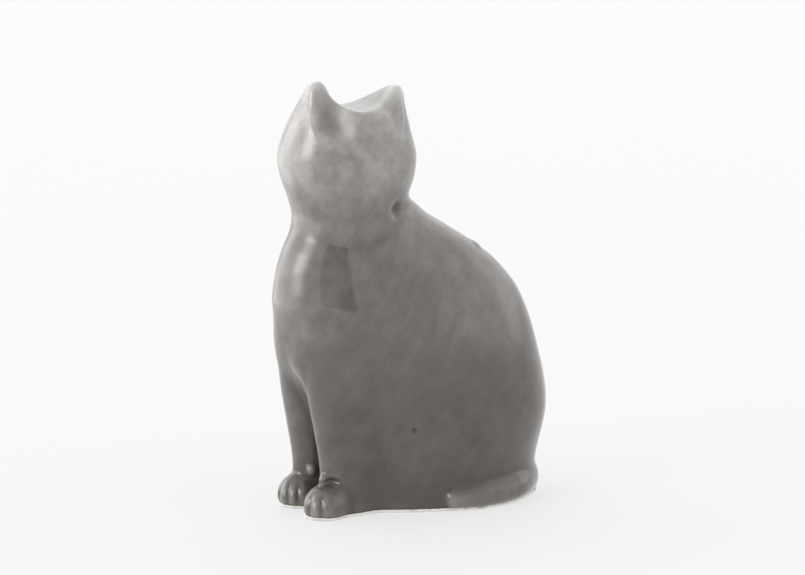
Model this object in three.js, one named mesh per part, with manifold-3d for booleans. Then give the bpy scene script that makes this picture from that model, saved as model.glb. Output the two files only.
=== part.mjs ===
// Sitting cat figurine in glazed porcelain, about 11 cm tall. Millimetres, +Z up.
// The chest faces -Y, the cat's left flank is +X and the head looks to the left, along +X.
// The members are hollow or solid castings set together with a thin seam of slip,
// and one coat of glaze lies over all of them, stopping just above the foot.
import * as THREE from 'three';
import { LoftGeometry } from 'three/addons/geometries/LoftGeometry.js';
import { mergeVertices } from 'three/addons/utils/BufferGeometryUtils.js';
import Module from 'manifold-3d';

const wasm = await Module();
wasm.setup();

// Driving dimensions
const SEAM = 0.3;              // slip seam between neighbouring members
const WALL = 2.9;              // thickness of the cast walls
const GLAZE_THICKNESS = 0.4;
const GLAZE_CLEARANCE = 0.3;   // from the porcelain to the inside of the glaze
const PORCELAIN = -(GLAZE_THICKNESS + GLAZE_CLEARANCE); // its surface, from the finished outside
const GLAZE_FROM_Z = 0.9;      // the glaze ends here and the rim below it is bare
const NECK_Z = 75;             // seam between body and head
const NECK_TOP_Z = 82;         // the neck ends inside the head
const HEAD_Y = -20.4;          // middle of the head, seen from the front
const LEFT_EAR_TOP_Z = 106.6;
const RIGHT_EAR_TOP_Z = 108.1;
const HOLLOW_TOP_Z = 97;       // top of the hollow inside the head
const DIP_Y = -20.1;
const STEEP_SIDE = { z: 109.5, halfWidth: 9.1, depth: 8.7 };
const GENTLE_SIDE = { z: 114.8, halfWidth: 12, depth: 14 };
const EAR_SCOOP = { x: 9.9, fromMiddle: 9.4, z: 101.8, radii: [2.8, 3.3, 6.2], lean: -0.5 };
const LEFT_SCOOP_OUT = 2;        // how much shallower the scoop in the cat's left ear is
const LEG_TOP_Z = 45;
const CENTRE_Y = 3.37;         // brings the middle of the outline over the origin
const AROUND = 36;             // points round a large section
const AROUND_LIMB = 18;

// All tables give the finished outside of the figure, on top of the glaze.

// The trunk, level by level: frontmost and rearmost y, the y where it is widest, its half width
// there, and how square the front and back halves of the section are (2 is an ellipse).
const TRUNK = [
  { z: 0, front: -25.5, back: 31.4, wide: 9, half: 15.9, squareFront: 1.7, squareBack: 1.65 },
  { z: 9, front: -26, back: 30.9, wide: 8, half: 17.3, squareFront: 1.8, squareBack: 1.75 },
  { z: 24, front: -29.5, back: 33.4, wide: 7, half: 19.6, squareFront: 2, squareBack: 1.9 },
  { z: 40, front: -37.2, back: 30.3, wide: 3, half: 19.2, squareFront: 2.15, squareBack: 2 },
  { z: 53, front: -40, back: 25.8, wide: -5, half: 16.8, squareFront: 2.1, squareBack: 2 },
  { z: 61, front: -39.3, back: 19.5, wide: -11, half: 14.6, squareFront: 2, squareBack: 2 },
  { z: 66, front: -37.8, back: 13.2, wide: -15, half: 13.2, squareFront: 2, squareBack: 2 },
  { z: 71, front: -35.5, back: 5.4, wide: -18, half: 12, squareFront: 2, squareBack: 2 },
  { z: 75, front: -34, back: -0.9, wide: -20, half: 11.8, squareFront: 2, squareBack: 2 },
  { z: 84, front: -34.4, back: -9.8, wide: -20.4, half: 12.4, squareFront: 2, squareBack: 2 },
];

// The head, level by level: its back and face, measured along x, its half width along y and the
// middle of that width.
const SKULL = [
  { z: 75, back: -12, face: 12.2, half: 13.6, squareBack: 2, squareFace: 2.05, middle: -20.6 },
  { z: 80, back: -12.8, face: 13.2, half: 15, squareBack: 2, squareFace: 2.1, middle: -20.8 },
  { z: 85, back: -13.8, face: 13.8, half: 16.7, squareBack: 2, squareFace: 2.15, middle: -20.8 },
  { z: 90, back: -14, face: 13.6, half: 17.3, squareBack: 2.1, squareFace: 2.15, middle: -20.8 },
  { z: 96, back: -12.8, face: 12.4, half: 15.5, squareBack: 2.3, squareFace: 2.35, middle: -20.7 },
  { z: 102, back: -9, face: 10.6, half: 13, squareBack: 2.4, squareFace: 2.8, middle: -20.4 },
  { z: 107.4, back: -1, face: 7.4, half: 11.5, squareBack: 2.2, squareFace: 2.8, middle: -20.2 },
  { z: 110, back: 2, face: 5.8, half: 10.4, squareBack: 2, squareFace: 2.4, middle: -20.1 },
];

// A foreleg from the ground up: how far it leans in toward the middle, its front and back, and
// its half width. The back of it lies inside the trunk.
const FORELEG = [
  { z: 0, inward: 0, front: -32.2, back: -18, half: 4.1 },
  { z: 12, inward: 0, front: -32.1, back: -18, half: 4 },
  { z: 22, inward: 0, front: -33.6, back: -18, half: 4.7 },
  { z: 34, inward: 0.6, front: -35.6, back: -18, half: 5.6 },
  { z: 45, inward: 2, front: -35.8, back: -18, half: 6 },
];
// Where the two forelegs stand, and the small knob on each wrist. The cat's right leg is ahead
// of its left one.
const LEFT_LEG = {
  side: 1, x: 6.5, behind: 1.4, paw: [7.4, -30.2], grooves: [-22, 18, 56], knob: [7.6, -29.9, 9.5],
};
const RIGHT_LEG = {
  side: -1, x: 6.5, behind: -0.8, paw: [-6.6, -31.6], grooves: [-6, 34, 64], knob: [-3.2, -29, 9.6],
};
const PAW = { z: 2.6, radius: 5.2, height: 5.1 };

// The tail from the rump to its tip, lying round the left flank at ground level.
const TAIL = [
  { x: -2.5, y: 26.4, z: 4, radius: 3.1 },
  { x: 2.5, y: 27.5, z: 4.1, radius: 3.3 },
  { x: 7.2, y: 25, z: 4.1, radius: 3.4 },
  { x: 12.2, y: 20, z: 4.1, radius: 3.3 },
  { x: 15.1, y: 12.6, z: 3.9, radius: 3 },
  { x: 16, y: 6.2, z: 3.6, radius: 2.5 },
  { x: 15.9, y: 1.6, z: 3.4, radius: 1.9 },
];

// Small hollows: one behind the cheek, one on the flank and one beside each wrist.
const PITS = [
  { centre: [11, -11.9, 77.3], radii: [1.4, 2.2, 2.4] },
  { centre: [17.6, -10, 22.2], radii: [1.3, 0.95, 0.95] },
  { centre: [10.2, -29.6, 9.1], radii: [2, 2.3, 1.4] },
  { centre: [-11.6, -30.6, 8.5], radii: [2.3, 2.8, 1.5] },
];

// Helpers for solids

function solidFrom(geometry) {
  const bare = new THREE.BufferGeometry();
  bare.setAttribute('position', geometry.attributes.position);
  bare.setIndex(geometry.index);
  const merged = mergeVertices(bare, 1e-4);
  return new wasm.Manifold(new wasm.Mesh({
    numProp: 3,
    vertProperties: merged.attributes.position.array,
    triVerts: new Uint32Array(merged.index.array),
  }));
}

function geometryFrom(solid) {
  const mesh = solid.getMesh();
  const geometry = new THREE.BufferGeometry();
  geometry.setAttribute('position', new THREE.BufferAttribute(new Float32Array(mesh.vertProperties), 3));
  geometry.setIndex(new THREE.BufferAttribute(new Uint32Array(mesh.triVerts), 1));
  geometry.computeVertexNormals();
  return geometry;
}

function joined(solids) {
  return solids.reduce((whole, next) => whole.add(next));
}

function slab(bottom, top) {
  const geometry = new THREE.BoxGeometry(120, 120, top - bottom);
  geometry.translate(0, 0, (bottom + top) / 2);
  return solidFrom(geometry);
}

function ellipsoid(centre, radii, segments = 12) {
  const geometry = new THREE.SphereGeometry(1, segments, Math.round(segments * 0.6));
  geometry.scale(radii[0], radii[1], radii[2]);
  geometry.translate(centre[0], centre[1], centre[2]);
  return solidFrom(geometry);
}

// Every value of a row of measurements at height z, eased between the rows on either side.
function levelAt(rows, z) {
  const last = rows.length - 1;
  let i = 0;
  while (i < last - 1 && z > rows[i + 1].z) {
    i += 1;
  }
  const span = rows[i + 1].z - rows[i].z;
  const t = Math.min(Math.max((z - rows[i].z) / span, 0), 1);
  const level = {};
  for (const key of Object.keys(rows[0])) {
    const slope = (j) => {
      const before = rows[Math.max(j - 1, 0)];
      const after = rows[Math.min(j + 1, last)];
      return (after[key] - before[key]) / (after.z - before.z);
    };
    const rise = rows[i + 1][key] - rows[i][key];
    const start = slope(i) * span;
    const end = slope(i + 1) * span;
    level[key] = rows[i][key] + t * start
      + t * t * (3 * rise - 2 * start - end)
      + t * t * t * (start + end - 2 * rise);
  }
  return level;
}

function heights(from, to, count) {
  return Array.from({ length: count + 1 }, (_, i) => from + ((to - from) * i) / count);
}

// One point of a rounded section at a unit direction (c, s): squareness 2 gives an ellipse.
function roundedPoint(c, s, square) {
  const size = (Math.abs(c) ** square + Math.abs(s) ** square) ** (1 / square);
  return [c / size, s / size];
}

function ring(count, pointAt) {
  return Array.from({ length: count }, (_, i) => {
    const angle = (2 * Math.PI * (i + 0.5)) / count;
    return pointAt(Math.cos(angle), Math.sin(angle));
  });
}

function loft(sections) {
  return solidFrom(new LoftGeometry(sections, { capStart: true, capEnd: true }));
}

// Shapes of the figure. `grow` moves a surface outward, or inward when negative. They all run
// on below the ground, and each member is cut off level with it.

function trunkShape(grow) {
  return loft(heights(-6, NECK_TOP_Z, 22).map((z) => {
    const row = levelAt(TRUNK, z);
    return ring(AROUND, (c, s) => {
      const reach = s > 0 ? row.back - row.wide : row.wide - row.front;
      const [x, y] = roundedPoint(c, s, s > 0 ? row.squareBack : row.squareFront);
      return new THREE.Vector3(x * (row.half + grow), row.wide + y * (reach + grow), z);
    });
  }));
}

function skullBlock(grow, top) {
  return loft(heights(NECK_Z - 1, top, 14).map((z) => {
    const row = levelAt(SKULL, z);
    const middle = (row.back + row.face) / 2;
    const depth = (row.face - row.back) / 2;
    return ring(AROUND, (c, s) => {
      const [x, y] = roundedPoint(c, s, c > 0 ? row.squareFace : row.squareBack);
      return new THREE.Vector3(middle + x * (depth + grow), row.middle + y * (row.half + grow), z);
    });
  }));
}

// The dip that runs from front to back between the ears.
function earDip(grow) {
  const profile = new THREE.Shape();
  const sides = [[STEEP_SIDE, Math.PI], [GENTLE_SIDE, 1.5 * Math.PI]];
  profile.moveTo(DIP_Y - STEEP_SIDE.halfWidth + grow, 130);
  for (const [side, from] of sides) {
    for (let i = 0; i <= 9; i += 1) {
      const angle = from + (i / 9) * (Math.PI / 2);
      profile.lineTo(
        DIP_Y + Math.cos(angle) * (side.halfWidth - grow),
        side.z + Math.sin(angle) * (side.depth - grow),
      );
    }
  }
  profile.lineTo(DIP_Y + GENTLE_SIDE.halfWidth - grow, 130);
  const geometry = new THREE.ExtrudeGeometry(profile, { depth: 60, bevelEnabled: false });
  geometry.applyMatrix4(new THREE.Matrix4().set(0, 0, 1, -30, 1, 0, 0, 0, 0, 1, 0, 0, 0, 0, 0, 1));
  return solidFrom(geometry);
}

function earScoop(side, grow) {
  const { x, fromMiddle, z, radii, lean } = EAR_SCOOP;
  const geometry = new THREE.SphereGeometry(1, 20, 12);
  geometry.scale(radii[0] - grow, radii[1] - grow, radii[2] - grow);
  geometry.rotateY(lean);
  geometry.translate(x + (side > 0 ? LEFT_SCOOP_OUT : 0), HEAD_Y + side * fromMiddle, z);
  return solidFrom(geometry);
}

// What stands above the tip of the left ear, which is the lower of the two.
function aboveLeftEar(grow) {
  const geometry = new THREE.BoxGeometry(60, 40, 20);
  geometry.translate(0, HEAD_Y + 20, LEFT_EAR_TOP_Z + 10 + grow);
  return solidFrom(geometry);
}

function headShape(grow) {
  return skullBlock(grow, RIGHT_EAR_TOP_Z + grow)
    .subtract(aboveLeftEar(grow))
    .subtract(earDip(grow))
    .subtract(earScoop(1, grow))
    .subtract(earScoop(-1, grow));
}

// Everything above the slanting plane on which an ear is set.
function earSide(side, lift) {
  const geometry = new THREE.BoxGeometry(60, 60, 30);
  geometry.translate(0, 0, 15 + lift);
  geometry.rotateX(side * -0.5);
  geometry.translate(0, HEAD_Y + side * 12, 98.6);
  return solidFrom(geometry);
}

function forelegShape(leg, grow) {
  const shank = loft(heights(-6, LEG_TOP_Z, 9).map((z) => {
    const row = levelAt(FORELEG, z);
    const x = leg.side * (leg.x - row.inward);
    const y = (row.front + row.back) / 2 + leg.behind;
    const reach = (row.back - row.front) / 2;
    return ring(AROUND_LIMB, (c, s) => (
      new THREE.Vector3(x + c * (row.half + grow), y + s * (reach + grow), z)
    ));
  }));
  return toeGrooves(leg, grow).reduce(
    (shape, groove) => shape.subtract(groove),
    joined([shank, ...pawShapes(leg, grow)]),
  );
}

// The paw and the small knob on the wrist.
function pawShapes(leg, grow) {
  const [x, y] = leg.paw;
  const { z, radius, height } = PAW;
  const paw = ellipsoid([x, y, z], [radius + grow, radius + grow, height + grow], 20);
  const knob = ellipsoid(leg.knob, [1.5 + grow, 1.5 + grow, 1.4 + grow], 10);
  return [paw, knob];
}

// The grooves that part the toes, at angles round the paw from its front.
function toeGrooves(leg, grow) {
  const [x, y] = leg.paw;
  return leg.grooves.map((degrees) => {
    const angle = THREE.MathUtils.degToRad(degrees);
    const out = PAW.radius + 0.1;
    const centre = [x + out * Math.sin(angle), y - out * Math.cos(angle), 3.4];
    return ellipsoid(centre, [0.5 - grow, 0.5 - grow, 2.8 - grow], 10);
  });
}

function tailShape(grow) {
  const path = new THREE.CatmullRomCurve3(TAIL.map((p) => new THREE.Vector3(p.x, p.y, p.z)));
  const sections = heights(0, 1, 12).map((t) => {
    const middle = path.getPoint(t);
    const along = path.getTangent(t);
    const across = new THREE.Vector3(-along.y, along.x, 0).normalize();
    const place = t * (TAIL.length - 1);
    const i = Math.min(Math.floor(place), TAIL.length - 2);
    const radius = THREE.MathUtils.lerp(TAIL[i].radius, TAIL[i + 1].radius, place - i) + grow;
    return ring(14, (c, s) => new THREE.Vector3(0, 0, s * radius)
      .addScaledVector(across, c * radius)
      .add(middle));
  });
  const ends = [TAIL[0], TAIL[TAIL.length - 1]].map((end) => {
    const radius = end.radius + grow;
    return ellipsoid([end.x, end.y, end.z], [radius, radius, radius], 14);
  });
  return joined([loft(sections), ...ends]);
}

function pits(grow) {
  return joined(PITS.map((pit) => ellipsoid(pit.centre, pit.radii.map((r) => r - grow), 12)));
}

// The whole figure as one outline, used for both faces of the glaze.
function wholeShape(grow) {
  return joined([
    trunkShape(grow),
    headShape(grow),
    forelegShape(LEFT_LEG, grow),
    forelegShape(RIGHT_LEG, grow),
    tailShape(grow),
  ]).subtract(pits(grow));
}

// Members

const porcelain = { color: 0xe9e6df, roughness: 0.75, metalness: 0 };
const glazed = { color: 0x6e6b67, roughness: 0.12, metalness: 0 };

function member(name, solid, look) {
  const geometry = geometryFrom(solid);
  geometry.translate(0, CENTRE_Y, 0);
  const mesh = new THREE.Mesh(geometry, new THREE.MeshStandardMaterial({ ...look }));
  mesh.name = name;
  return mesh;
}

// The hollow left where the slip was poured out again, open at the foot and at the neck.
function hollow() {
  const inside = PORCELAIN - WALL;
  return trunkShape(inside).add(skullBlock(inside, HOLLOW_TOP_Z));
}

// A porcelain member of the given shape, standing on the ground.
function cast(shape) {
  return shape(PORCELAIN)
    .subtract(slab(-20, 0))
    .subtract(pits(PORCELAIN));
}

// What the trunk leaves free for the members set against it.
function besideTrunk(solid) {
  return solid.subtract(trunkShape(PORCELAIN + SEAM));
}

function torsoCasting() {
  const solid = cast(trunkShape)
    .subtract(hollow())
    .subtract(slab(NECK_Z - SEAM / 2, 120));
  return member('torso_casting', solid, porcelain);
}

function headCasting() {
  const solid = cast(headShape)
    .add(cast(trunkShape))
    .subtract(hollow())
    .subtract(slab(-20, NECK_Z + SEAM / 2))
    .subtract(earSide(1, -SEAM / 2))
    .subtract(earSide(-1, -SEAM / 2));
  return member('head_casting', solid, porcelain);
}

function ear(name, side) {
  return member(name, headShape(PORCELAIN).intersect(earSide(side, SEAM / 2)), porcelain);
}

function foreleg(name, leg) {
  const shape = (grow) => forelegShape(leg, grow);
  return member(name, besideTrunk(cast(shape)), porcelain);
}

function tail() {
  return member('tail', besideTrunk(cast(tailShape)), porcelain);
}

function glazeCoat() {
  const solid = wholeShape(0)
    .subtract(wholeShape(-GLAZE_THICKNESS))
    .subtract(slab(-20, GLAZE_FROM_Z));
  return member('glaze_coat', solid, glazed);
}

const group = new THREE.Group();
group.name = 'cat_figurine';
group.add(
  torsoCasting(),
  headCasting(),
  ear('left_ear', 1),
  ear('right_ear', -1),
  foreleg('left_foreleg', LEFT_LEG),
  foreleg('right_foreleg', RIGHT_LEG),
  tail(),
  glazeCoat(),
);

export default group;
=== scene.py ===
import math

import bmesh
import bpy
import numpy as np
import openvdb
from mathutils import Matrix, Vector


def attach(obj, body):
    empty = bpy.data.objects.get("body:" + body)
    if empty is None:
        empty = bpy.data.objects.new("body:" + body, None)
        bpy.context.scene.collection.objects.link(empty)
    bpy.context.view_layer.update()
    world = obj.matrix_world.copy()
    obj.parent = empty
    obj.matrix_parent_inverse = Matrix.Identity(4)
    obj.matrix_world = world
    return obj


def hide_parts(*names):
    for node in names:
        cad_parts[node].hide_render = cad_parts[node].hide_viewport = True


# A sitting porcelain cat under a translucent grey glaze. The figure is worked out in
# millimetres as one smooth field of distances and only turned into metres at the end.

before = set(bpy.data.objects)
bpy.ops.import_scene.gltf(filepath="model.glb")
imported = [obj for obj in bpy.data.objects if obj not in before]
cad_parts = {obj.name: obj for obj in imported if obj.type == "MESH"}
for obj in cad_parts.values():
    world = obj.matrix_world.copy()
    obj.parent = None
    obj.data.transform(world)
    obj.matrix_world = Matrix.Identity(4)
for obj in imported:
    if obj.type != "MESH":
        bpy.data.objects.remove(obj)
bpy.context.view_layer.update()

MM = 0.001
CENTRE_Y = 3.37  # the CAD figure's own shift along y, in mm
STEP = 0.45  # spacing of the field's grid, in mm
BARE_FOOT = 0.95  # height of the unglazed foot
GLAZE_THICKNESS = 0.4
RIM_THICKNESS = 0.8
HEAD_Y = -20.4

# The surface that the glaze lies on, level by level.
# height, front, back, widest y, half width there, squareness of the front and back halves
TRUNK = [
    (-6, -25.5, 31.4, 9, 15.9, 1.7, 1.65),
    (0, -25.5, 31.4, 9, 15.9, 1.7, 1.65),
    (9, -26, 30.9, 8, 17.3, 1.8, 1.75),
    (24, -29.5, 33.4, 7, 19.6, 2.0, 1.9),
    (40, -37.2, 30.3, 3, 19.2, 2.15, 2.0),
    (53, -40.0, 25.8, -5, 16.8, 2.1, 2.0),
    (61, -39.3, 19.5, -11, 14.6, 2.0, 2.0),
    (66, -37.8, 13.2, -15, 13.2, 2.0, 2.0),
    (71, -35.5, 5.4, -18, 12.0, 2.0, 2.0),
    (75, -34.0, -0.9, -20.0, 11.8, 2.0, 2.0),
    (84, -34.4, -9.8, -20.4, 12.4, 2.0, 2.0),
]
# height, back, face, half width, squareness of the back and face halves, middle y
SKULL = [
    (66, -11.6, 11.6, 13.0, 2.0, 2.0, -20.4),
    (75, -12.0, 12.2, 13.6, 2.0, 2.05, -20.6),
    (80, -12.8, 13.2, 15.0, 2.0, 2.1, -20.8),
    (85, -13.8, 13.8, 16.7, 2.0, 2.15, -20.8),
    (90, -14.0, 13.6, 17.3, 2.1, 2.15, -20.8),
    (96, -12.8, 12.4, 15.5, 2.3, 2.35, -20.7),
    (102, -9.0, 10.6, 13.3, 2.4, 2.8, -20.4),
    (107.4, -1.0, 7.4, 12.3, 2.2, 2.8, -20.2),
    (110, 2.0, 5.8, 11.6, 2.0, 2.4, -20.1),
    (114, 2.0, 5.8, 9.6, 2.0, 2.4, -20.1),
]
# The dip across the scalp, which leaves the ears standing. It is steeper toward the right ear
# than toward the left one. Height of its middle, half width, depth.
DIP_Y = -20.1
STEEP_SIDE = (109.5, 8.5, 8.1)
GENTLE_SIDE = (114.8, 11.5, 13.4)
RIGHT_EAR_TOP, LEFT_EAR_TOP = 109.3, 107.9
# the scoop in the front of each ear: centres, then the radii and lean of both
SCOOPS = [(9.9, -29.6, 101.8), (11.9, -10.8, 101.8)]
SCOOP_RADII, SCOOP_LEAN = (2.8, 3.3, 6.2), -0.5
# height, how far the leg has moved in from its place at the ground, front, back, half width
FORELEG = [
    (-6, 0, -32.2, -18, 4.1),
    (0, 0, -32.2, -18, 4.1),
    (12, 0, -32.1, -18, 4.0),
    (22, 0, -33.6, -18, 4.7),
    (34, 0.6, -35.6, -18, 5.6),
    (45, 2.0, -35.8, -18, 6.0),
    (54, 3.0, -33.5, -18, 5.0),
]
# side, x, how far back it stands, middle of the paw, where the grooves between its toes lie in
# degrees round it from the front, and middle of the knob on its wrist
LEGS = [
    (1, 6.5, 1.4, (7.4, -30.2), (-22, 18, 56), (7.8, -30.8, 9.5)),
    (-1, 6.5, -0.8, (-6.6, -31.6), (-6, 34, 64), (-2.55, -29.75, 9.7)),
]
PAW_Z, PAW_RADIUS, PAW_HEIGHT = 2.6, 5.2, 5.1
KNOB_RADII = (0.7, 0.7, 0.95)
# x, y, z, radius
TAIL = [
    (-2.5, 26.4, 4.0, 3.1),
    (2.5, 27.5, 4.1, 3.3),
    (7.2, 25.0, 4.1, 3.4),
    (12.2, 20.0, 4.1, 3.3),
    (15.1, 12.6, 3.9, 3.0),
    (16.0, 6.2, 3.6, 2.5),
    (15.9, 1.6, 3.4, 1.9),
]
# Pits: centre, radii, lean, turn, rounding. Behind the cheek, on the flank, by each wrist.
PITS = [
    ((11.5, -11.9, 77.3), (2.2, 1.4, 2.4), 0.5, 1.571, 0.7),
    ((17.6, -10.0, 22.2), (1.3, 0.95, 0.95), 0.0, 0.0, 0.4),
    ((9.9, -29.35, 9.1), (2.7, 1.9, 1.5), 0.0, 0.93, 0.5),
    ((-11.6, -30.6, 8.5), (2.3, 2.8, 1.5), 0.0, 0.0, 0.8),
]
# a small bump on the ridge of the back: centre and radii
BUMP = ((2.6, 12.5, 64.9), (1.6, 1.3, 1.0))
# painted highlights over the nose and the brow, where the glaze is also taken to run thin:
# middle, reach, how much
THIN_GLAZE_AND_HIGHLIGHT_SPOTS = [((14, -18.2, 86.6), 4.6, 0.24), ((12, -25, 97.8), 2.6, 0.2)]


# ---------------------------------------------------------------- the field


def column(heights, rows, i):
    """Column i of a table at every height, eased between its rows."""
    x = np.array([r[0] for r in rows], float)
    y = np.array([r[i] for r in rows], float)
    slope = np.empty_like(y)
    slope[1:-1] = (y[2:] - y[:-2]) / (x[2:] - x[:-2])
    slope[0] = (y[1] - y[0]) / (x[1] - x[0])
    slope[-1] = (y[-1] - y[-2]) / (x[-1] - x[-2])
    k = np.clip(np.searchsorted(x, heights) - 1, 0, len(x) - 2)
    span = x[k + 1] - x[k]
    t = np.clip((heights - x[k]) / span, 0, 1)
    rise, a, b = y[k + 1] - y[k], slope[k] * span, slope[k + 1] * span
    eased = y[k] + t * a + t**2 * (3 * rise - 2 * a - b) + t**3 * (a + b - 2 * rise)
    return eased.astype(np.float32)


def smooth_min(a, b, k):
    """The lower of two fields, with the join rounded over about k mm."""
    h = np.maximum(k - np.abs(a - b), 0) / k
    return np.minimum(a, b) - h * h * (k * 0.25)


def smooth_max(a, b, k):
    return -smooth_min(-a, -b, k)


def ramp(v, low, high):
    t = np.clip((v - low) / (high - low), 0, 1)
    return t * t * (3 - 2 * t)


class Grid:
    """Evenly spaced points over a box: its lowest corner, spacing, counts and coordinates."""

    def __init__(self, low, high, step):
        self.low, self.step = np.array(low, np.float32), step
        self.n = np.ceil((np.array(high) - self.low) / step).astype(int) + 1
        ax = [self.low[i] + step * np.arange(self.n[i], dtype=np.float32) for i in range(3)]
        self.x, self.y, self.z = ax[0][:, None, None], ax[1][None, :, None], ax[2][None, None, :]

    def part(self, low, high):
        """The slices of the grid round a box, and the coordinates in them."""
        a = np.floor((np.array(low) - self.low) / self.step).astype(int)
        b = np.ceil((np.array(high) - self.low) / self.step).astype(int) + 1
        s = tuple(slice(i, j) for i, j in zip(np.clip(a, 0, self.n), np.clip(b, 0, self.n)))
        return s, self.x[s[0]], self.y[:, s[1]], self.z[:, :, s[2]]


def levelled(r, step):
    """Turns a ratio that is 1 on the surface into rough distances from it."""
    gx, gy, gz = np.gradient(r, step)
    return (r - 1) / np.maximum(np.sqrt(gx * gx + gy * gy + gz * gz), 0.004)


def ellipsoid(x, y, z, centre, radii, lean=0.0, turn=0.0):
    """Rough distance to an ellipsoid, leaning about y and then turned about z."""
    dx, dy, dz = x - centre[0], y - centre[1], z - centre[2]
    dx, dy = dx * math.cos(turn) + dy * math.sin(turn), dy * math.cos(turn) - dx * math.sin(turn)
    dx, dz = dx * math.cos(lean) - dz * math.sin(lean), dx * math.sin(lean) + dz * math.cos(lean)
    k0 = np.sqrt((dx / radii[0]) ** 2 + (dy / radii[1]) ** 2 + (dz / radii[2]) ** 2)
    k1 = np.sqrt(
        (dx / radii[0] ** 2) ** 2 + (dy / radii[1] ** 2) ** 2 + (dz / radii[2] ** 2) ** 2
    )
    return k0 * (k0 - 1) / np.maximum(k1, 1e-5)


def capsule(x, y, z, a, b, ra, rb):
    """Distance to a straight limb from a to b whose radius runs from ra to rb."""
    a, b = np.array(a, np.float32), np.array(b, np.float32)
    ab = b - a
    along = (x - a[0]) * ab[0] + (y - a[1]) * ab[1] + (z - a[2]) * ab[2]
    t = np.clip(along / float(ab @ ab), 0, 1)
    dx, dy, dz = x - a[0] - t * ab[0], y - a[1] - t * ab[1], z - a[2] - t * ab[2]
    return np.sqrt(dx**2 + dy**2 + dz**2) - (ra + (rb - ra) * t)


def trunk(g):
    """The body and the neck."""
    heights = g.z.ravel()
    front, back, wide, half, nf, nb = (
        column(heights, TRUNK, i)[None, None, :] for i in range(1, 7)
    )
    behind = g.y > wide
    reach = np.where(behind, back - wide, wide - front)
    n = np.where(behind, nb, nf)
    r = ((np.abs(g.x) / half) ** n + (np.abs(g.y - wide) / reach) ** n) ** (1 / n)
    return smooth_max(levelled(r, g.step), g.z - 82, 6.0)


def scalp_dip(y, z):
    """Positive in the dip between the ears, whose walls go straight up from its middle."""
    steep, gentle = (
        depth - np.sqrt(((y - DIP_Y) * depth / half_width) ** 2 + np.minimum(z - mid, 0) ** 2)
        for mid, half_width, depth in (STEEP_SIDE, GENTLE_SIDE)
    )
    return np.where(y < DIP_Y, steep, gentle)


def head(g):
    """The skull, cut down to the ears."""
    heights = g.z.ravel()
    back, face, half, nb, nf, middle = (
        column(heights, SKULL, i)[None, None, :] for i in range(1, 7)
    )
    mid, depth = (back + face) / 2, (face - back) / 2
    n = np.where(g.x > mid, nf, nb)
    r = ((np.abs(g.x - mid) / depth) ** n + (np.abs(g.y - middle) / half) ** n) ** (1 / n)
    d = smooth_max(levelled(r, g.step), 68 - g.z, 6.0)
    s, x, y, z = g.part((-16, HEAD_Y - 20, 92), (18, HEAD_Y + 20, 114))
    top = z - np.where(y < HEAD_Y, RIGHT_EAR_TOP, LEFT_EAR_TOP)
    w = smooth_max(smooth_max(d[s], scalp_dip(y, z), 1.8), top, 3.4)
    for spot in SCOOPS:
        w = smooth_max(w, -ellipsoid(x, y, z, spot, SCOOP_RADII, SCOOP_LEAN), 3.0)
    d[s] = w
    return d


def toe_groove(x, y, z, paw, angle):
    """Distance to the rod that cuts one groove, from the ground up over the front of the paw."""
    a = math.radians(angle)
    ends = [
        (paw[0] + out * math.sin(a), paw[1] - out * math.cos(a), height)
        for out, height in ((PAW_RADIUS + 0.3, 0.8), (PAW_RADIUS - 0.9, 6.0))
    ]
    return capsule(x, y, z, *ends, 0.55, 0.3)


def foreleg(g, side, leg_x, behind, paw, grooves, knob):
    """One foreleg with its paw, the grooves between the toes and the knob on the wrist."""
    heights = g.z.ravel()
    inward, front, back, half = (
        column(heights, FORELEG, i)[None, None, :] for i in range(1, 5)
    )
    mid, reach = (front + back) / 2 + behind, (back - front) / 2
    middle = side * (leg_x - inward)
    r = np.sqrt(((g.x - middle) / half) ** 2 + ((g.y - mid) / reach) ** 2)
    d = smooth_max(levelled(r, g.step), g.z - 50, 8.0)
    s, x, y, z = g.part((paw[0] - 9, -41, -4), (paw[0] + 9, -18, 16))
    ball = ellipsoid(x, y, z, (*paw, PAW_Z), (PAW_RADIUS, PAW_RADIUS, PAW_HEIGHT))
    w = smooth_min(d[s], ball, 2.0)
    w = smooth_min(w, ellipsoid(x, y, z, knob, KNOB_RADII), 1.5)
    for angle in grooves:
        w = smooth_max(w, -toe_groove(x, y, z, paw, angle), 1.1)
    d[s] = w
    return d


def curve_through(points, count):
    """Points and radii along a smooth curve through the given ones."""
    p = np.array(points, float)
    p = np.vstack([2 * p[0] - p[1], p, 2 * p[-1] - p[-2]])
    out = []
    for t in np.linspace(0, len(points) - 1, count):
        i = min(int(t), len(points) - 2)
        u = t - i
        a, b, c, e = p[i : i + 4]
        out.append(
            0.5 * (2 * b + (c - a) * u + (2 * a - 5 * b + 4 * c - e) * u**2)
            + 0.5 * (3 * b - a - 3 * c + e) * u**3
        )
    return out


def tail(g):
    """The tail along the left flank, and the part of the grid that it is in."""
    s, x, y, z = g.part((-8, -6, -5), (22, 38, 12))
    path = curve_through(TAIL, 22)
    d = None
    for p, q in zip(path, path[1:]):
        link = capsule(x, y, z, p[:3], q[:3], p[3], q[3])
        d = link if d is None else np.minimum(d, link)
    return s, d


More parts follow.
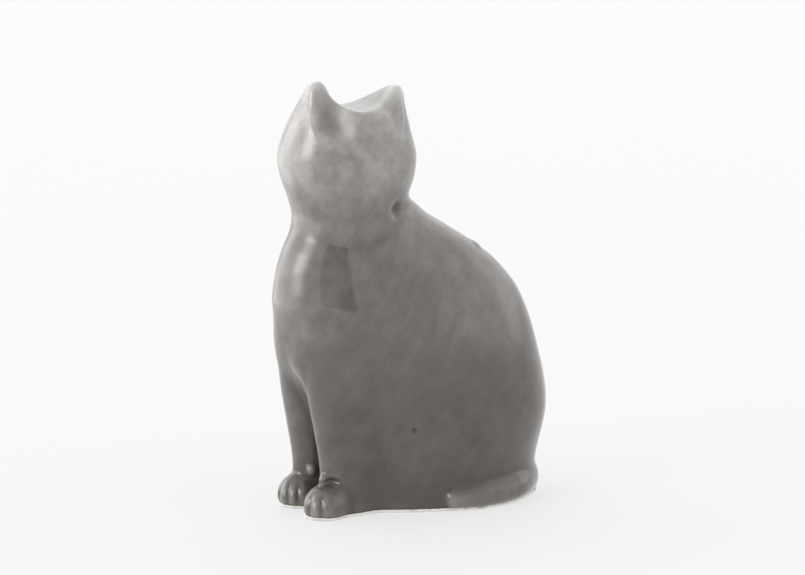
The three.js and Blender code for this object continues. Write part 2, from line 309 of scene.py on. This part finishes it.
def figure_field(g):
    """Distances from the surface of the whole figure under its glaze, negative inside."""
    d = trunk(g)
    legs = None
    for leg_row in LEGS:
        leg = foreleg(g, *leg_row)
        legs = leg if legs is None else smooth_min(legs, leg, 0.8)
    # the legs run into the flanks and the chest softly, and stay apart from each other
    flank = ramp(np.abs(g.x), 5, 9) * (0.4 + 0.6 * ramp(g.z, 8, 16))
    d = smooth_min(d, legs, 1.6 + 3.6 * np.maximum(flank, ramp(g.z, 28, 42)))
    d = smooth_min(d, head(g), 2.0)
    s, t = tail(g)
    d[s] = smooth_min(d[s], t, 2.0)
    s, x, y, z = g.part((-3, 8, 60), (8, 19, 72))
    d[s] = smooth_min(d[s], ellipsoid(x, y, z, *BUMP), 1.4)
    for centre, radii, lean, turn, k in PITS:
        s, x, y, z = g.part(np.array(centre) - 7, np.array(centre) + 7)
        d[s] = smooth_max(d[s], -ellipsoid(x, y, z, centre, radii, lean, turn), k)
    return d


# ---------------------------------------------------------------- meshes


def sample(field, g, p):
    """The field at points p, between the grid's values."""
    q = (p - g.low) / g.step
    i = np.clip(np.floor(q).astype(int), 0, g.n - 2)
    f = (q - i).astype(np.float32)
    out = 0
    for cx in (0, 1):
        for cy in (0, 1):
            for cz in (0, 1):
                w = (
                    (f[:, 0] if cx else 1 - f[:, 0])
                    * (f[:, 1] if cy else 1 - f[:, 1])
                    * (f[:, 2] if cz else 1 - f[:, 2])
                )
                out = out + w * field[i[:, 0] + cx, i[:, 1] + cy, i[:, 2] + cz]
    return out


def skin(field, g, level):
    """The surface where the field has that level, as points in mm and quads."""
    band = 3 * g.step
    volume = openvdb.FloatGrid(band)
    volume.copyFromArray(np.clip(field - level, -band, band))
    points, quads = volume.convertToQuads(0.0)
    points = points * g.step + g.low
    # a few steps along the gradient put the points on the level itself
    grads = [np.gradient(field, g.step, axis=k) for k in range(3)]
    for _ in range(3):
        away = sample(field, g, points) - level
        n = np.stack([sample(c, g, points) for c in grads], 1)
        n /= np.maximum((n**2).sum(1, keepdims=True), 0.2)
        points = points - np.clip(away, -0.3, 0.3)[:, None] * n
    return points, quads[:, ::-1]


def blurred(field, times):
    """The field averaged over its neighbours, a few times over."""
    for _ in range(times):
        for axis in range(3):
            ahead, behind = np.roll(field, 1, axis), np.roll(field, -1, axis)
            field = (ahead + 2 * field + behind) * 0.25
    return field


def mesh_object(name, points, faces):
    """A smooth-shaded object in metres and in the frame, from points in mm."""
    mesh = bpy.data.meshes.new(name)
    metres = (points + np.array((0, CENTRE_Y, 0))) * MM
    mesh.from_pydata(metres.tolist(), [], faces.tolist())
    mesh.validate()
    mesh.update()
    for p in mesh.polygons:
        p.use_smooth = True
    obj = bpy.data.objects.new(name, mesh)
    bpy.context.scene.collection.objects.link(obj)
    return obj


def attribute(obj, name, values):
    layer = obj.data.attributes.new(name, "FLOAT", "POINT")
    layer.data.foreach_set("value", values.astype(np.float32))


def cut(obj, height, keep_above):
    """Removes what lies under or over a height in mm and leaves an open edge."""
    bm = bmesh.new()
    bm.from_mesh(obj.data)
    geom = bm.verts[:] + bm.edges[:] + bm.faces[:]
    bmesh.ops.bisect_plane(
        bm,
        geom=geom,
        plane_co=(0, 0, height * MM),
        plane_no=(0, 0, 1),
        clear_inner=keep_above,
        clear_outer=not keep_above,
    )
    bm.to_mesh(obj.data)
    bm.free()
    obj.data.update()


def taper_wall(obj, height, much):
    """Moves a skin outward in mm, from nothing at a height down to the most at the ground.

    The skin's faces look inward, so it is moved against its normals.
    """
    bm = bmesh.new()
    bm.from_mesh(obj.data)
    geom = bm.verts[:] + bm.edges[:] + bm.faces[:]
    bmesh.ops.bisect_plane(bm, geom=geom, plane_co=(0, 0, height * MM), plane_no=(0, 0, 1))
    bm.normal_update()
    for v in bm.verts:
        low = 1 - v.co.z / (height * MM)
        if low > 0.001:
            v.co -= Vector((v.normal.x, v.normal.y, 0)).normalized() * (low * much * MM)
    bm.to_mesh(obj.data)
    bm.free()
    obj.data.update()


def thicken_outward(obj, thickness):
    """Gives an open skin a thickness in mm, all of it outside, where its normals don't look."""
    shell = obj.modifiers.new("thickness", "SOLIDIFY")
    shell.thickness = thickness * MM
    shell.offset = -1


grid = Grid((-24, -45, -4.0), (24, 39, 113.0), STEP)
figure = figure_field(grid).astype(np.float32)
# the glaze is rounded off a little where it ends above the foot
outside = figure + 0.12 * (1 - np.sqrt(np.clip((grid.z - BARE_FOOT) / 0.5, 0.0, 1)))
points, quads = skin(outside, grid, 0.0)

# blurring lifts the field over ridges and lowers it in hollows, finely and then broadly
soft = blurred(outside, 6)
softer = blurred(soft, 30)
crease_and_highlight = sample(soft, grid, points)
hollow = sample(softer, grid, points)
# painted highlights on the nose and brow are added to the ridge measure, which lightens the
# glaze colour there
for spot, reach, much in THIN_GLAZE_AND_HIGHLIGHT_SPOTS:
    crease_and_highlight = crease_and_highlight + much * np.exp(-(((points - np.array(spot)) / reach) ** 2).sum(1))

glaze = mesh_object("glaze_coat_fired", points, quads)
attribute(glaze, "crease_and_highlight", crease_and_highlight)
attribute(glaze, "hollow", hollow)
cut(glaze, BARE_FOOT, keep_above=True)
thicken_outward(glaze, GLAZE_THICKNESS)
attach(glaze, "root")
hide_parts("glaze_coat")

# the bare rim that the figure stands on, about 0.3 mm proud of the glaze above it
foot = mesh_object("foot_rim", points, quads)
cut(foot, 0.02, keep_above=True)
cut(foot, BARE_FOOT - 0.03, keep_above=False)
taper_wall(foot, 0.32, 0.5)
thicken_outward(foot, RIM_THICKNESS)
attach(foot, "root")

# ---------------------------------------------------------------- materials


def new_material(name):
    m = bpy.data.materials.new(name)
    m.use_nodes = True
    return m, m.node_tree.nodes, m.node_tree.links, m.node_tree.nodes["Principled BSDF"]


def noise(nodes, links, coords, scale, detail=3.0, rough=0.5, distort=0.0):
    n = nodes.new("ShaderNodeTexNoise")
    n.inputs["Scale"].default_value = scale
    n.inputs["Detail"].default_value = detail
    n.inputs["Roughness"].default_value = rough
    n.inputs["Distortion"].default_value = distort
    links.new(coords, n.inputs["Vector"])
    return n.outputs["Fac"]


def maths(nodes, links, kind, a, b=None, clamp=False):
    """One maths node on a and b, each a socket or a number."""
    n = nodes.new("ShaderNodeMath")
    n.operation = kind
    n.use_clamp = clamp
    for i, v in enumerate((a, b)):
        if v is None:
            continue
        if hasattr(v, "links"):
            links.new(v, n.inputs[i])
        else:
            n.inputs[i].default_value = v
    return n.outputs[0]


def fit(nodes, links, v, low, high, to_low, to_high, kind="LINEAR"):
    """A socket's value moved from one range to another and held at its ends."""
    n = nodes.new("ShaderNodeMapRange")
    n.interpolation_type = kind
    links.new(v, n.inputs["Value"])
    for key, value in (
        ("From Min", low), ("From Max", high), ("To Min", to_low), ("To Max", to_high)
    ):
        n.inputs[key].default_value = value
    return n.outputs["Result"]


def colours(nodes, links, v, stops):
    """The colour at v on a ramp of (place, colour) stops."""
    n = nodes.new("ShaderNodeValToRGB")
    ramp_ = n.color_ramp
    while len(ramp_.elements) < len(stops):
        ramp_.elements.new(0.5)
    for e, (at, colour) in zip(ramp_.elements, stops):
        e.position = at
        e.color = (*colour, 1)
    links.new(v, n.inputs["Fac"])
    return n.outputs["Color"]


FULL_HEIGHT = 0.11  # metres
# how thick the glaze lies at each part of that height, from 0 to 1
THICKNESS_UP = [
    (0.0, 0.87), (0.3, 0.80), (0.46, 0.685), (0.6, 0.65),
    (0.69, 0.625), (0.77, 0.52), (0.88, 0.41), (1.0, 0.44),
]
# and its colour over the white body, from thin to thick
GREYS = [
    (0.0, (0.50, 0.49, 0.47)),
    (0.30, (0.295, 0.283, 0.27)),
    (0.50, (0.195, 0.183, 0.172)),
    (0.70, (0.114, 0.103, 0.094)),
    (0.90, (0.070, 0.0615, 0.0555)),
]


def glaze_thickness(nodes, links, tex):
    """Thin up on the head and along ridges, lighter still at the painted highlights on the nose
    and brow; thick low down and in hollows, the hollows darkened partly by glaze pooling and
    partly as painted shade; and uneven.
    """
    split = nodes.new("ShaderNodeSeparateXYZ")
    links.new(tex, split.inputs[0])
    shape = {}
    for name in ("crease_and_highlight", "hollow"):
        node = nodes.new("ShaderNodeAttribute")
        node.attribute_name = name
        shape[name] = node.outputs["Fac"]
    height = maths(nodes, links, "MULTIPLY", split.outputs["Z"], 1 / FULL_HEIGHT, True)
    thick = colours(nodes, links, height, [(h, (t, t, t)) for h, t in THICKNESS_UP])
    # ridges, and the painted highlights on the nose and brow, thin the glaze and so lighten it
    ridge_and_highlight = fit(nodes, links, shape["crease_and_highlight"], 0.0, 0.25, 0.0, 0.22)
    bulge = fit(nodes, links, shape["hollow"], 0.0, 1.2, 0.0, 0.18)
    # painted shade: hollows get a darker glaze colour, partly for glaze pooling there and partly
    # for the shade that falls in them
    pooled_and_shaded = fit(nodes, links, shape["hollow"], -0.5, 0.0, 0.2, 0.0)
    lean = nodes.new("ShaderNodeMapping")
    lean.inputs["Rotation"].default_value = (0.5, 0, 0)
    links.new(tex, lean.inputs["Vector"])
    stretch = nodes.new("ShaderNodeMapping")
    stretch.inputs["Scale"].default_value = (1, 1, 0.14)
    links.new(lean.outputs["Vector"], stretch.inputs["Vector"])
    streak = noise(nodes, links, stretch.outputs["Vector"], 420.0, 3.0, 0.55, 0.4)
    mottle = noise(nodes, links, tex, 95.0, 4.0, 0.55, 0.6)
    blotch = noise(nodes, links, tex, 240.0, 3.0, 0.6, 0.3)
    up_high = fit(nodes, links, height, 0.6, 0.8, 0.35, 1.0)
    smudge = fit(nodes, links, blotch, 0.3, 0.7, -0.09, 0.09)
    thick = maths(nodes, links, "SUBTRACT", thick, ridge_and_highlight)
    thick = maths(nodes, links, "SUBTRACT", thick, bulge)
    for more in (
        pooled_and_shaded,
        fit(nodes, links, mottle, 0.3, 0.7, -0.06, 0.06),
        maths(nodes, links, "MULTIPLY", smudge, up_high),
        fit(nodes, links, streak, 0.3, 0.7, -0.025, 0.025),
    ):
        thick = maths(nodes, links, "ADD", thick, more)
    return thick


def add_bump(nodes, links, bsdf, height, strength, distance):
    bump = nodes.new("ShaderNodeBump")
    bump.inputs["Strength"].default_value = strength
    bump.inputs["Distance"].default_value = distance
    links.new(height, bump.inputs["Height"])
    links.new(bump.outputs["Normal"], bsdf.inputs["Normal"])


def glaze_material():
    m, nodes, links, bsdf = new_material("grey_glaze")
    tex = nodes.new("ShaderNodeTexCoord").outputs["Object"]
    thick = glaze_thickness(nodes, links, tex)
    links.new(colours(nodes, links, thick, GREYS), bsdf.inputs["Base Color"])
    bsdf.inputs["Roughness"].default_value = 0.08
    bsdf.inputs["IOR"].default_value = 1.5
    bsdf.inputs["Sheen Weight"].default_value = 0.35
    bsdf.inputs["Sheen Roughness"].default_value = 0.3
    add_bump(nodes, links, bsdf, noise(nodes, links, tex, 130.0, 2.0, 0.4), 0.25, 0.0004)
    return m


def bisque_material():
    m, nodes, links, bsdf = new_material("bare_porcelain")
    tex = nodes.new("ShaderNodeTexCoord").outputs["Object"]
    grain = noise(nodes, links, tex, 1800.0, 3.0, 0.6)
    stain = noise(nodes, links, tex, 120.0, 3.0, 0.6)
    base = colours(
        nodes, links, stain, [(0.3, (0.70, 0.66, 0.59)), (0.62, (0.80, 0.78, 0.74))]
    )
    links.new(base, bsdf.inputs["Base Color"])
    links.new(fit(nodes, links, grain, 0.3, 0.7, 0.6, 0.85), bsdf.inputs["Roughness"])
    add_bump(nodes, links, bsdf, grain, 0.4, 0.0001)
    return m


GLAZED, BARE = glaze_material(), bisque_material()
glaze.data.materials.append(GLAZED)
foot.data.materials.append(BARE)
for name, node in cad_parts.items():
    if name != "glaze_coat":
        node.data.materials.clear()
        node.data.materials.append(BARE)

# ---------------------------------------------------------------- studio


WALLS, CEILING = 1.0, 0.5
FLOOR_HALF, FLOOR_GLOW = 6.0, 0.635
# a painted pool of light that glows on the floor at the left: azimuth of the middle and width in
# degrees, softness of the edge, light
LIT_FLOOR_PATCH = (-24, 94, 0.4, 2.0)
LIT_FLOOR_PATCH_BEGINS = (0.13, 0.3)  # metres from the middle of the figure
# Azimuth and elevation of the middle, width and height in degrees, softness of the edge, light.
# The second is the big soft light at the left and the fourth is the dark behind the camera.
STUDIO = [
    (15, 16, 24, 17, 0.9, 6.0),
    (-24, 8, 94, 50, 0.4, 1.9),
    (150, 26, 60, 36, 0.6, 0.8),
    (66, 9.9, 26, 17.4, 0.08, -3.0),
    (246, 36, 150, 40, 0.5, 0.8),
    (0, 90, 110, 110, 0.5, 0.4),
]


def along(nodes, links, place, direction):
    """How far a place lies in a direction."""
    n = nodes.new("ShaderNodeVectorMath")
    n.operation = "DOT_PRODUCT"
    links.new(place, n.inputs[0])
    n.inputs[1].default_value = direction
    return n.outputs["Value"]


def within(nodes, links, reach, size, edge):
    """1 inside an angle of that size in degrees, given the tangent from its middle, else 0."""
    half = math.tan(math.radians(size / 2))
    reach = maths(nodes, links, "ABSOLUTE", reach)
    return fit(nodes, links, reach, half * (1 - edge), half * (1 + edge), 1.0, 0.0, "SMOOTHSTEP")


def floor():
    """A pale table top far larger than the picture."""
    mesh = bpy.data.meshes.new("floor")
    s = FLOOR_HALF
    mesh.from_pydata([(-s, -s, 0), (s, -s, 0), (s, s, 0), (-s, s, 0)], [], [(0, 1, 2, 3)])
    obj = bpy.data.objects.new("floor", mesh)
    bpy.context.scene.collection.objects.link(obj)
    m, nodes, links, bsdf = new_material("pale_floor")
    bsdf.inputs["Base Color"].default_value = (0.22, 0.22, 0.22, 1)
    bsdf.inputs["Emission Color"].default_value = (1, 1, 1, 1)
    # a painted pool of light: a patch of the floor out of the picture at the left glows, as if
    # lit by the soft light there
    where = nodes.new("ShaderNodeTexCoord").outputs["Object"]
    azimuth, width, edge, strength = LIT_FLOOR_PATCH
    a = math.radians(azimuth)
    out = along(nodes, links, where, Vector((math.sin(a), -math.cos(a), 0)))
    across = along(nodes, links, where, Vector((math.cos(a), math.sin(a), 0)))
    reach = maths(nodes, links, "DIVIDE", across, maths(nodes, links, "MAXIMUM", out, 0.05))
    lit_patch = within(nodes, links, reach, width, edge)
    begins = fit(nodes, links, out, *LIT_FLOOR_PATCH_BEGINS, 0.0, strength, "SMOOTHSTEP")
    glow = maths(nodes, links, "MULTIPLY", lit_patch, begins)
    glow = maths(nodes, links, "ADD", glow, FLOOR_GLOW)
    links.new(glow, bsdf.inputs["Emission Strength"])
    bsdf.inputs["Roughness"].default_value = 0.8
    bsdf.inputs["Specular IOR Level"].default_value = 0.1
    mesh.materials.append(m)


def box_of_light(nodes, links, azimuth, elevation, width, height, edge):
    """1 inside a soft-edged rectangle of the surroundings, given in degrees, and 0 outside."""
    a, e = math.radians(azimuth), math.radians(elevation)
    ahead = Vector((math.sin(a) * math.cos(e), -math.cos(a) * math.cos(e), math.sin(e)))
    across = Vector((math.cos(a), math.sin(a), 0))
    where = nodes.new("ShaderNodeTexCoord").outputs["Generated"]
    facing = maths(nodes, links, "MAXIMUM", along(nodes, links, where, ahead), 0.05)
    inside = None
    for axis, size in ((across, width), (ahead.cross(across), height)):
        reach = maths(nodes, links, "DIVIDE", along(nodes, links, where, axis), facing)
        now = within(nodes, links, reach, size, edge)
        inside = now if inside is None else maths(nodes, links, "MULTIPLY", inside, now)
    return inside


def studio():
    """A white room round the figure, with patches of more light or of less."""
    world = bpy.data.worlds.new("studio")
    bpy.context.scene.world = world
    world.use_nodes = True
    nodes, links = world.node_tree.nodes, world.node_tree.links
    level = None
    for azimuth, elevation, width, height, edge, strength in STUDIO:
        patch = box_of_light(nodes, links, azimuth, elevation, width, height, edge)
        patch = maths(nodes, links, "MULTIPLY", patch, strength)
        level = patch if level is None else maths(nodes, links, "ADD", level, patch)
    split = nodes.new("ShaderNodeSeparateXYZ")
    links.new(nodes.new("ShaderNodeTexCoord").outputs["Generated"], split.inputs[0])
    walls = fit(nodes, links, split.outputs["Z"], 0.25, 0.7, WALLS, CEILING)
    level = maths(nodes, links, "ADD", level, walls)
    level = maths(nodes, links, "MAXIMUM", level, 0.0)
    links.new(level, nodes["Background"].inputs["Strength"])
    nodes["Background"].inputs["Color"].default_value = (1, 1, 1, 1)


floor()
studio()

AZIMUTH, ELEVATION, DISTANCE = 66.0, 10.0, 0.70
# the height looked at, in metres, and how far right of it and above it the view is aimed
AIM_HEIGHT, AIM_RIGHT, AIM_UP = 0.052, -0.0052, 0.0029
a, e = math.radians(AZIMUTH), math.radians(ELEVATION)
back = Vector((math.sin(a) * math.cos(e), -math.cos(a) * math.cos(e), math.sin(e)))
right = Vector((math.cos(a), math.sin(a), 0))
up = back.cross(right)
aim = Vector((0, CENTRE_Y * MM, AIM_HEIGHT)) + right * AIM_RIGHT + up * AIM_UP
camera = bpy.data.cameras.new("camera")
camera.sensor_width = 36.0
camera.lens = 123.0
camera.clip_start = 0.05
camera.clip_end = 50
eye = bpy.data.objects.new("camera", camera)
eye.location = aim + back * DISTANCE
eye.rotation_euler = back.to_track_quat("Z", "Y").to_euler()
bpy.context.scene.collection.objects.link(eye)
bpy.context.scene.camera = eye

scene = bpy.context.scene
scene.view_settings.view_transform = "Standard"
